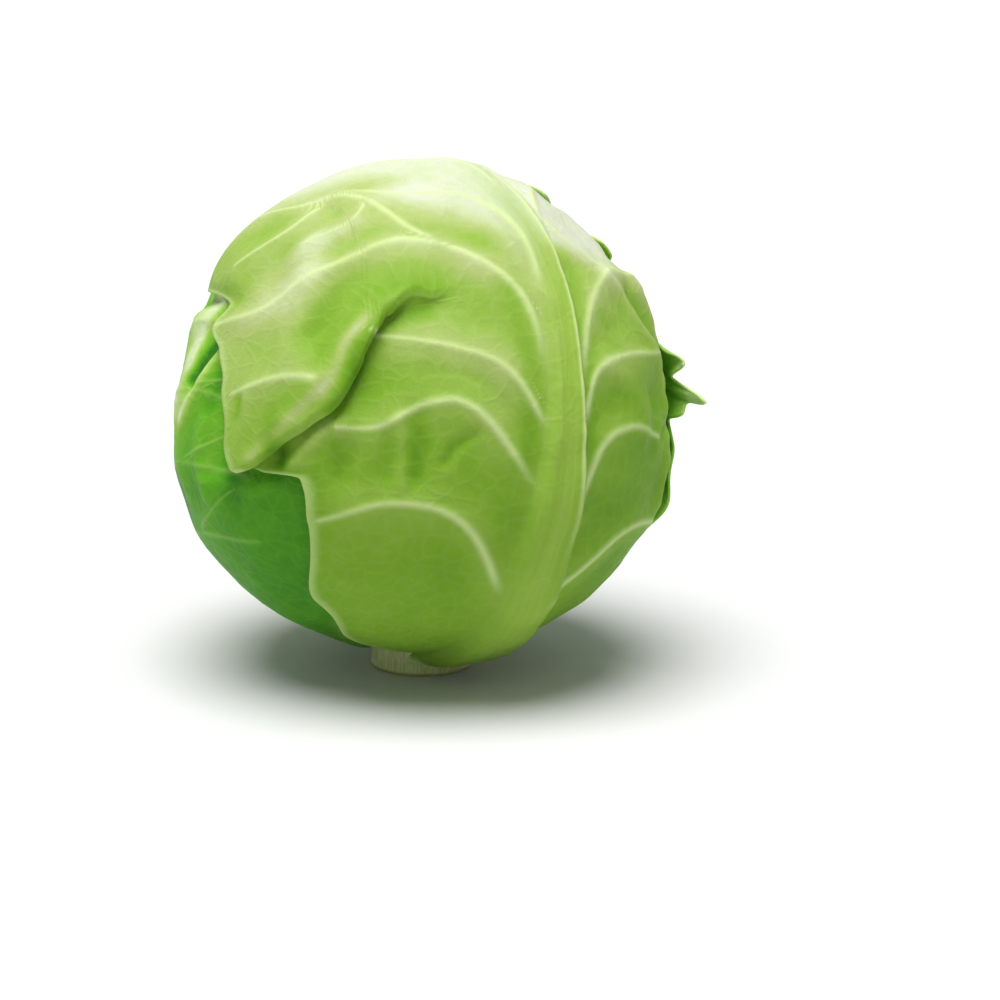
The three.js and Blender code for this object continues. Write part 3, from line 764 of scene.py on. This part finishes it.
def newMaterial(name):
    material = bpy.data.materials.new(name)
    material.use_nodes = True
    tree = material.node_tree
    return material, tree, tree.nodes["Principled BSDF"]


def setRamp(node, colors):
    elements = node.color_ramp.elements
    while len(elements) < len(colors):
        elements.new(0.5)
    for element, (at, code) in zip(elements, colors):
        element.position = at
        element.color = linear(code)


# Settings that many nodes share
multiply = {"operation": "MULTIPLY"}
multiplyAdd = {"operation": "MULTIPLY_ADD"}
colorMix = {"data_type": "RGBA"}
smoothStep = {"interpolation_type": "SMOOTHSTEP"}


def leafMaterial(name, finish):
    # fresh cabbage leaf: a waxy skin with a soft sheen, and light that soaks into the flesh
    material, tree, shader = newMaterial(name)
    read = {}
    for mark in ("greenAndPaintedLight", "across vein", "vein", "fork", "across rib", "rib", "rib edge highlight", "inside"):
        read[mark] = addNode(tree, "ShaderNodeAttribute", {"attribute_name": mark}).outputs["Fac"]
    blade = addNode(tree, "ShaderNodeUVMap", {"uv_map": "UVMap"}).outputs["UV"]
    place = addNode(tree, "ShaderNodeTexCoord").outputs["Object"]
    veinAndHighlightColor = linear(finish["veinAndHighlightColor"])

    # patches of deeper and paler green, 35 mm across, and fine mottling of 4 mm
    patches = addNode(tree, "ShaderNodeTexNoise", Vector=place, Scale=1 / 0.035, Detail=3.0, Roughness=0.55)
    mottle = addNode(tree, "ShaderNodeTexNoise", Vector=place, Scale=1 / 0.004, Detail=2.0)
    # the depth of green read from the leaf holds painted light and shade as well as its own green
    uneven = addNode(tree, "ShaderNodeMath", multiplyAdd, i0=patches, i1=0.34, i2=read["greenAndPaintedLight"])
    uneven = addNode(tree, "ShaderNodeMath", multiplyAdd, i0=mottle, i1=0.08, i2=uneven)
    level = addNode(tree, "ShaderNodeMath", {"operation": "SUBTRACT"}, i0=uneven, i1=0.21)
    greens = addNode(tree, "ShaderNodeValToRGB", Fac=level)
    setRamp(greens, finish["greens"])

    # the net of small veins between the side veins: meshes of 7 mm, and of 2.2 mm within them
    nets = []
    edges = {"feature": "DISTANCE_TO_EDGE", "voronoi_dimensions": "2D"}
    for size in (0.007, 0.0022):
        bend = addNode(tree, "ShaderNodeTexNoise", Vector=blade, Scale=0.6 / size, Detail=1.0)
        bend = bend.outputs["Color"]
        bent = addNode(tree, "ShaderNodeVectorMath", multiplyAdd, i0=bend, i1=(0.9 * size,) * 3, i2=blade)
        cells = addNode(tree, "ShaderNodeTexVoronoi", edges, Vector=bent, Scale=1 / size)
        net = addNode(tree, "ShaderNodeMapRange", smoothStep, Value=cells, i1=0.0, i2=0.22, i3=1.0, i4=0.0)
        nets.append(net)
    netShare = addNode(tree, "ShaderNodeMath", multiply, i0=nets[0], i1=finish["net"])
    color = addNode(tree, "ShaderNodeMix", colorMix, i0=netShare, i6=greens, i7=veinAndHighlightColor).outputs[2]

    # the midrib, with strands along it that are 1.5 mm apart at its narrow end
    plane = addNode(tree, "ShaderNodeSeparateXYZ", Vector=blade)
    run = addNode(tree, "ShaderNodeCombineXYZ", X=read["across rib"], Y=plane.outputs["Y"])
    strands = addNode(tree, "ShaderNodeMapping", Vector=run, Scale=(3.5, 12, 1))
    strand = addNode(tree, "ShaderNodeTexNoise", Vector=strands, Scale=1.0, Detail=2.0)
    shade = addNode(tree, "ShaderNodeMapRange", Value=strand, i1=0.3, i2=0.7, i3=0.0, i4=1.0)
    deep, pale = [linear(code) for code in finish["ribColors"]]
    ribColor = addNode(tree, "ShaderNodeMix", colorMix, i0=shade, i6=deep, i7=pale).outputs[2]
    ribShare = addNode(tree, "ShaderNodeMath", multiply, i0=read["rib"], i1=finish["ribShow"])
    color = addNode(tree, "ShaderNodeMix", colorMix, i0=ribShare, i6=color, i7=ribColor).outputs[2]

    # the side veins and their forks as pale lines, and a painted highlight along the midrib's right edge
    line = read["fork"]
    veinLine = ("across vein", 0.0, 1.0, "vein")
    ribEdgeHighlight = ("across rib", rib["edgePlace"], 0.12, "rib edge highlight")
    for axis, middle, width, show in (veinLine, ribEdgeHighlight):
        off = addNode(tree, "ShaderNodeMath", {"operation": "SUBTRACT"}, i0=read[axis], i1=middle)
        part = addNode(tree, "ShaderNodeMath", {"operation": "DIVIDE"}, i0=off, i1=width)
        square = addNode(tree, "ShaderNodeMath", multiply, i0=part, i1=part)
        fall = addNode(tree, "ShaderNodeMath", multiply, i0=square, i1=-1.0)
        peak = addNode(tree, "ShaderNodeMath", {"operation": "EXPONENT"}, i0=fall)
        drawn = addNode(tree, "ShaderNodeMath", multiply, i0=peak, i1=read[show])
        line = addNode(tree, "ShaderNodeMath", {"operation": "MAXIMUM"}, i0=line, i1=drawn)
    lineShare = addNode(tree, "ShaderNodeMath", multiply, i0=line, i1=finish["lineShow"])
    color = addNode(tree, "ShaderNodeMix", colorMix, i0=lineShare, i6=color, i7=veinAndHighlightColor).outputs[2]

    # the thin margin lets more light through
    marginShow = finish["marginShow"]
    marginShare = addNode(
        tree, "ShaderNodeMapRange", Value=read["inside"], i1=0.0, i2=1.0, i3=marginShow, i4=0.0
    )
    marginColor = linear(finish["marginColor"])
    color = addNode(tree, "ShaderNodeMix", colorMix, i0=marginShare, i6=color, i7=marginColor).outputs[2]
    tree.links.new(color, shader.inputs["Base Color"])

    rough = addNode(tree, "ShaderNodeMapRange", Value=mottle, i3=0.42, i4=0.55)
    tree.links.new(rough.outputs[0], shader.inputs["Roughness"])
    shader.inputs["IOR"].default_value = 1.42
    shader.inputs["Specular IOR Level"].default_value = 0.07
    shader.inputs["Subsurface Weight"].default_value = 0.3
    shader.inputs["Subsurface Radius"].default_value = (0.5, 1.0, 0.16)
    shader.inputs["Subsurface Scale"].default_value = 0.003

    height = addNode(tree, "ShaderNodeMath", multiplyAdd, i0=nets[1], i1=0.35, i2=nets[0])
    height = addNode(tree, "ShaderNodeMath", multiplyAdd, i0=mottle, i1=0.5, i2=height)
    height = addNode(tree, "ShaderNodeMath", multiplyAdd, i0=line, i1=2.0, i2=height)
    bump = addNode(tree, "ShaderNodeBump", Strength=finish["bump"], Distance=0.0004, Height=height)
    tree.links.new(bump.outputs["Normal"], shader.inputs["Normal"])
    return material


paleLeaf = leafMaterial("pale waxy cabbage leaf", {
    "greens": [
        (0.0, "#c6cdb4"), (0.1, "#b9c698"), (0.22, "#a4b56e"), (0.4, "#8aab46"), (0.6, "#75a02b"),
        (0.8, "#629120"), (1.0, "#487514"),
    ],
    # the pale vein colour and its share also paint the highlight along the midrib's right edge
    "veinAndHighlightColor": "#c6d896", "lineShow": 0.75, "net": 0.035,
    "ribColors": ("#8db03c", "#9dbb55"), "ribShow": 0.7,
    "marginColor": "#d7e7a8", "marginShow": 0.35,
    "bump": 0.25,
})
greenLeaf = leafMaterial("deep green outer cabbage leaf", {
    "greens": [(0.0, "#c2d4a0"), (0.25, "#9cbf5c"), (0.5, "#74ad30"), (0.75, "#549a1e"), (1.0, "#30701c")],
    # the pale vein colour and its share also paint the highlight along the midrib's right edge
    "veinAndHighlightColor": "#a8ca70", "lineShow": 0.3, "net": 0.04,
    "ribColors": ("#8bbd5c", "#a9cf7c"), "ribShow": 0.5,
    "marginColor": "#a8c860", "marginShow": 0.3,
    "bump": 0.35,
})

finishes = {
    "leaf_back_loose": (greenLeaf, "leaf_green"),
    "leaf_front": (paleLeaf, "leaf_pale"),
    "leaf_left": (greenLeaf, "leaf_green"),
    "leaf_right": (paleLeaf, "leaf_pale"),
    "leaf_front_inner": (paleLeaf, "leaf_pale"),
    "leaf_back_inner": (paleLeaf, "leaf_pale"),
}
for index, leaf in enumerate(leaves):
    piece = buildLeaf(index)
    material, slotName = finishes[leaf["node"]]
    piece.data.materials.clear()
    piece.data.materials.append(material)
print("wrapper leaves finished")


def ballPiece(name, columns, rows):
    # a closed ball to shape, with the share of the way from its lower to its upper pole
    bpy.ops.object.select_all(action="DESELECT")
    bpy.ops.mesh.primitive_uv_sphere_add(segments=columns, ring_count=rows, radius=1)
    piece = bpy.context.object
    piece.name = name
    count = len(piece.data.vertices)
    unit = np.empty(count * 3)
    piece.data.vertices.foreach_get("co", unit)
    unit = unit.reshape(count, 3)
    share = 0.5 + np.arcsin(clamp(unit[:, 2], -1, 1)) / np.pi
    return piece, share, np.arctan2(unit[:, 1], unit[:, 0])


def finishPiece(piece, points, material, node):
    piece.data.vertices.foreach_set("co", (points * mm).ravel())
    piece.data.update()
    bpy.ops.object.shade_smooth()
    piece.data.materials.append(material)
    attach(piece, "root")
    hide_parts(node)
    print(node, "made with", len(piece.data.polygons), "faces")


def stemMaterial():
    # a cabbage stem: pale fibrous flesh, a ring of bundles near the rind, and a dried brownish cut
    material, tree, shader = newMaterial("cut cabbage stem")
    place = addNode(tree, "ShaderNodeTexCoord").outputs["Object"]
    parts = addNode(tree, "ShaderNodeSeparateXYZ", Vector=place)
    flat = addNode(tree, "ShaderNodeCombineXYZ", X=parts.outputs["X"], Y=parts.outputs["Y"])
    reach = addNode(tree, "ShaderNodeVectorMath", {"operation": "LENGTH"}, i0=flat).outputs["Value"]
    bend = addNode(tree, "ShaderNodeTexNoise", Vector=place, Scale=1 / 0.006, Detail=2.0)
    uneven = addNode(tree, "ShaderNodeMath", multiplyAdd, i0=bend, i1=0.0016, i2=reach)
    share = addNode(tree, "ShaderNodeMapRange", Value=uneven, i1=0.0, i2=0.02)
    cut = addNode(tree, "ShaderNodeValToRGB", Fac=share)
    setRamp(cut, [
        (0.0, "#cdc79f"), (0.45, "#d3cfa6"), (0.7, "#c3bb84"), (0.8, "#aa9c60"), (0.88, "#c6c48c"),
        (1.0, "#98a35c"),
    ])

    # fibres 0.8 mm apart that run up the side, and dried patches of 5 mm on the cut
    stretch = addNode(tree, "ShaderNodeMapping", Vector=place, Scale=(1, 1, 0.08))
    fibres = addNode(tree, "ShaderNodeTexNoise", Vector=stretch, Scale=1 / 0.0008, Detail=2.0)
    side = addNode(tree, "ShaderNodeValToRGB", Fac=fibres)
    setRamp(side, [(0.3, "#a9ba70"), (0.7, "#cdd6a0")])
    height = parts.outputs["Z"]
    low = addNode(tree, "ShaderNodeMapRange", Value=height, i1=0.0007, i2=0.0016, i3=1.0, i4=0.0)
    color = addNode(tree, "ShaderNodeMix", colorMix, i0=low, i6=side, i7=cut).outputs[2]
    patch = addNode(tree, "ShaderNodeTexNoise", Vector=place, Scale=1 / 0.005, Detail=3.0)
    dried = addNode(tree, "ShaderNodeMapRange", Value=patch, i1=0.5, i2=0.75, i3=0.0, i4=0.45)
    driedShare = addNode(tree, "ShaderNodeMath", multiply, i0=dried, i1=low)
    brown = linear("#9c7f4a")
    color = addNode(tree, "ShaderNodeMix", colorMix, i0=driedShare, i6=color, i7=brown).outputs[2]
    tree.links.new(color, shader.inputs["Base Color"])
    shader.inputs["Roughness"].default_value = 0.7
    shader.inputs["Specular IOR Level"].default_value = 0.2
    shader.inputs["Subsurface Weight"].default_value = 0.2
    shader.inputs["Subsurface Scale"].default_value = 0.002
    bump = addNode(tree, "ShaderNodeBump", Strength=0.5, Distance=0.0003, Height=fibres)
    tree.links.new(bump.outputs["Normal"], shader.inputs["Normal"])
    return material


# The stem: a cut face with a sunken pith, then the fluted side, and the core inside the head.
# Its profile goes from the middle of the cut face to the core's tip: share, radius and height.
stemBody = {
    "columns": 144,
    "rows": 150,
    "profile": [
        (0, 0, 0.7), (0.1, 7, 0.6), (0.14, 9, 0.3), (0.22, 14, 0.1), (0.24, 15, 0.35), (0.26, 16, 0.1),
        (0.3, 18.2, 0), (0.32, 18.8, 0.4), (0.34, 19, 1.3), (0.42, 18.4, 5), (0.52, 19.4, 16), (0.66, 19, 48),
        (0.78, 14.4, 72), (0.88, 10.5, 94), (0.97, 7, 108), (0.99, 3.5, 111), (1, 0, 112),
    ],
    "flutes": 5,
    "fluteDepth": 0.025,  # of the radius
    "knifeMarks": 0.12,
    "fibreDepth": 0.012,  # of the radius
}


def buildStem():
    piece, share, around = ballPiece("stem_body", stemBody["columns"], stemBody["rows"])
    at, radius, height = np.array(stemBody["profile"], dtype=float).T
    z = np.interp(share, at, height)
    flute = 1 + stemBody["fluteDepth"] * np.sin(stemBody["flutes"] * around) * ease(1, 6, z)
    r = np.interp(share, at, radius) * flute
    x = r * np.cos(around)
    y = r * np.sin(around)
    cutFace = z < 2
    rough = wobble(np.stack([x, y], axis=1), 2.2, 4.4)
    fibre = wobble(np.stack([around * 14, z / 6], axis=1), 1.6, 8.8)
    z = z + np.where(cutFace, stemBody["knifeMarks"] * (rough + 1) * (r < 18), 0)
    side = 1 + np.where(cutFace, 0, stemBody["fibreDepth"] * fibre)
    points = np.stack([x * side, y * side, z], axis=1)
    finishPiece(piece, points, stemMaterial(), "stem")


def heartMaterial():
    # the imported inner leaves, hardly green, with a net of fine veins 6 mm apart
    material, tree, shader = newMaterial("pale packed cabbage heart")
    place = addNode(tree, "ShaderNodeTexCoord").outputs["Object"]
    patches = addNode(tree, "ShaderNodeTexNoise", Vector=place, Scale=1 / 0.03, Detail=3.0)
    greens = addNode(tree, "ShaderNodeValToRGB", Fac=patches)
    setRamp(greens, [(0.3, "#c3cf92"), (0.7, "#b0c468")])
    edges = {"feature": "DISTANCE_TO_EDGE"}
    cells = addNode(tree, "ShaderNodeTexVoronoi", edges, Vector=place, Scale=1 / 0.006)
    line = addNode(tree, "ShaderNodeMapRange", smoothStep, Value=cells, i1=0.0, i2=0.15, i3=0.4, i4=0.0)
    pale = linear("#d6dcb4")
    color = addNode(tree, "ShaderNodeMix", colorMix, i0=line, i6=greens, i7=pale).outputs[2]
    tree.links.new(color, shader.inputs["Base Color"])
    shader.inputs["Roughness"].default_value = 0.5
    shader.inputs["Specular IOR Level"].default_value = 0.2
    shader.inputs["Subsurface Weight"].default_value = 0.3
    shader.inputs["Subsurface Scale"].default_value = 0.003
    bump = addNode(tree, "ShaderNodeBump", Strength=0.3, Distance=0.0004, Height=line)
    tree.links.new(bump.outputs["Normal"], shader.inputs["Normal"])
    return material


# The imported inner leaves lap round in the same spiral, each margin a small step.
# The ball's lower pole is turned in to line the core's socket: share, radius and height.
heart = {
    "columns": 160,
    "rows": 120,
    "gap": 1,
    "laps": 4,
    "lap": 0.8,
    "lapRise": 20,  # degrees, where the middle of each lap lies
    "lapEdge": (72, 67),  # degrees from there
    "scallops": 9,
    "scallop": 1.5,
    "pucker": 0.3,
    "puckers": 5.625,  # in the head's half width
    "lowest": -66,  # degrees, where the lining of the socket starts
    "lining": 0.16,  # the share of the ball that lines the socket
    "socket": [(0.25, 20.2, -22), (0.5, 17.4, 0), (0.75, 10.4, 22), (1, 0, 26.5)],
}


def buildHeart():
    piece, share, around = ballPiece("heart_body", heart["columns"], heart["rows"])
    rise = np.radians(heart["lowest"] + (90 - heart["lowest"]) * ramp(heart["lining"], 1, share))
    d = np.stack([np.cos(rise) * np.cos(around), np.cos(rise) * np.sin(around), np.sin(rise)], axis=1)
    depth, _ = layer(len(leaves), d)
    lap = np.zeros(len(d))
    lapRise = np.radians(heart["lapRise"])
    for i in range(1, heart["laps"] + 1):
        level = levelDirection(leaves[-1]["azimuth"] - wrap["turn"] * i)
        lapMiddle = np.cos(lapRise) * level + np.sin(lapRise) * np.array([0, 0, 1])
        away = np.degrees(np.arccos(clamp(d @ lapMiddle, -1, 1)))
        away += heart["scallop"] * np.sin(heart["scallops"] * around + i)
        lap += heart["lap"] * ease(*heart["lapEdge"], away)
    radius = headSurface(d) - depth - heart["gap"] - heart["laps"] * heart["lap"] + lap
    radius += heart["pucker"] * (wobble(d[:, :2] * heart["puckers"], 1, 3.3) - 1)
    points = d * radius[:, None]

    inner = ramp(heart["lining"], 0, share)
    at, socketRadius, socketHeight = np.array(heart["socket"], dtype=float).T
    t = ramp(0, at[0], inner)
    flat = np.hypot(points[:, 0], points[:, 1])
    reach = np.where(t < 1, flat + (socketRadius[0] - flat) * t, np.interp(inner, at, socketRadius))
    height = points[:, 2] + (socketHeight[0] - points[:, 2]) * t
    height = np.where(t < 1, height, np.interp(inner, at, socketHeight))
    lining = inner > 0
    points[lining] = np.stack([reach * np.cos(around), reach * np.sin(around), height], axis=1)[lining]
    points[:, 2] += centreHeight
    finishPiece(piece, points, heartMaterial(), "heart")


buildStem()
buildHeart()
print("stem and heart finished")

# A plain pale floor
bpy.ops.object.select_all(action="DESELECT")
bpy.ops.mesh.primitive_plane_add(size=8)
floor = bpy.context.object
floor.name = "floor"
paper, _, paperShader = newMaterial("matt pale grey paper")
paperShader.inputs["Base Color"].default_value = linear("#d4d4d4")
paperShader.inputs["Roughness"].default_value = 0.9
floor.data.materials.append(paper)

# Soft studio light: one very broad lamp overhead, a little to the front, and a pale surround
light = {"from": (-0.1, -0.2, 1.0), "strength": 4.15, "breadth": 45, "surround": 0.35}
world = bpy.data.worlds.new("pale studio")
bpy.context.scene.world = world
world.use_nodes = True
surround = world.node_tree.nodes["Background"]
surround.inputs["Color"].default_value = linear("#ffffff")
surround.inputs["Strength"].default_value = light["surround"]
lampPlace = Vector(light["from"])
bpy.ops.object.light_add(type="SUN", location=lampPlace)
lamp = bpy.context.object
lamp.name = "overhead"
lamp.data.energy = light["strength"]
lamp.data.angle = np.radians(light["breadth"])
lamp.rotation_euler = lampPlace.to_track_quat("Z", "Y").to_euler()

# The camera, a little above the level, with the head left of the middle and high in the picture
view = {"elevation": 12, "distance": 1.2, "lens": 117.4, "shiftX": 0.078, "shiftY": -0.065}
elevation = np.radians(view["elevation"])
back = Vector((0, -np.cos(elevation), np.sin(elevation)))
middle = Vector((0, 0, centreHeight * mm))
bpy.ops.object.camera_add(location=middle + back * view["distance"])
camera = bpy.context.object
camera.rotation_euler = back.to_track_quat("Z", "Y").to_euler()
camera.data.lens = view["lens"]
camera.data.shift_x = view["shiftX"]
camera.data.shift_y = view["shiftY"]
bpy.context.scene.camera = camera
bpy.context.scene.view_settings.view_transform = "Standard"
print("stage set")
